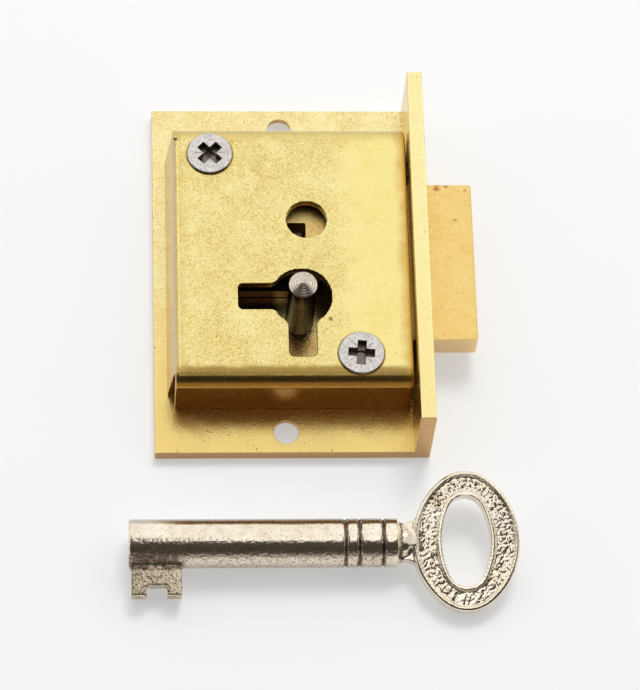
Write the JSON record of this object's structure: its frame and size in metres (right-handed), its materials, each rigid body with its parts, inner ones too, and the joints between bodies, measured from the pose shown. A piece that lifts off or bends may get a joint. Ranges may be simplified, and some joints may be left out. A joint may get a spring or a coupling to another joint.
{
  "type": "cut cupboard lock",
  "caption": "Brass cut cupboard lock with a folded cover, sliding bolt, levers on leaf springs, and its hollow nickel key lying beside it.",
  "frame": {"origin": "on the key pin's axis, in the outer face of the main plate", "axes": "+X is the way the bolt throws, out through the selvedge; +Y runs up along the selvedge; +Z goes from the main plate to the cover, the side that the key enters"},
  "size_m": [0.0635, 0.0924, 0.0176],
  "materials": {
    "plate_brass": "milled flat, fine grain, lightly aged",
    "cover_brass": "folded sheet, mottled matt with fine specks",
    "bolt_brass": "milled, brushed along its length",
    "post_brass": "turned",
    "lever_brass": "stamped and deburred",
    "spring_bronze": "rolled spring strip",
    "screw_steel": "zinc plated, mottled",
    "pin_steel": "turned, dull",
    "nickel": "nickel plate over a pitted casting, warm tone"
  },
  "bodies": {
    "case": {"main_plate": "plate_brass", "case_cover": "cover_brass", "cover_post_upper": "post_brass", "cover_post_lower": "post_brass", "cover_screw_upper": "screw_steel", "cover_screw_lower": "screw_steel", "key_pin": "pin_steel", "bolt_guide_stud": "pin_steel", "lever_pivot": "pin_steel", "pivot_washer_1": "post_brass", "pivot_washer_2": "post_brass", "pivot_washer_3": "post_brass", "pivot_washer_4": "post_brass"},
    "bolt": {"bolt": "bolt_brass", "bolt_stump": "pin_steel"},
    "lever_1": {"lever_1": "lever_brass", "lever_spring_1": "spring_bronze"},
    "lever_2": {"lever_2": "lever_brass", "lever_spring_2": "spring_bronze"},
    "lever_3": {"lever_3": "lever_brass", "lever_spring_3": "spring_bronze"},
    "key": {"key": "nickel"}
  },
  "joints": [
    {"name": "bolt_slide", "type": "slide", "parent": "case", "child": "bolt", "axis": [1, 0, 0], "range_m": [-0.0079, 0]},
    {"name": "lever_1_lift", "type": "hinge", "parent": "case", "child": "lever_1", "pos_m": [-0.0155, 0.012, 0], "axis": [0, 0, 1], "range_deg": [-5.5, 2], "stiffness_Nm_per_rad": 0.03, "springref_deg": -14.32, "deforming": ["lever_spring_1"]},
    {"name": "lever_2_lift", "type": "hinge", "parent": "case", "child": "lever_2", "pos_m": [-0.0155, 0.012, 0], "axis": [0, 0, 1], "range_deg": [-5.5, 2], "stiffness_Nm_per_rad": 0.03, "springref_deg": -14.32, "deforming": ["lever_spring_2"]},
    {"name": "lever_3_lift", "type": "hinge", "parent": "case", "child": "lever_3", "pos_m": [-0.0155, 0.012, 0], "axis": [0, 0, 1], "range_deg": [-5.5, 2], "stiffness_Nm_per_rad": 0.03, "springref_deg": -14.32, "deforming": ["lever_spring_3"]},
    {"name": "key_lift", "type": "slide", "parent": "case", "child": "key", "axis": [0, 0, 1], "range_m": [0, 0.03]}
  ]
}
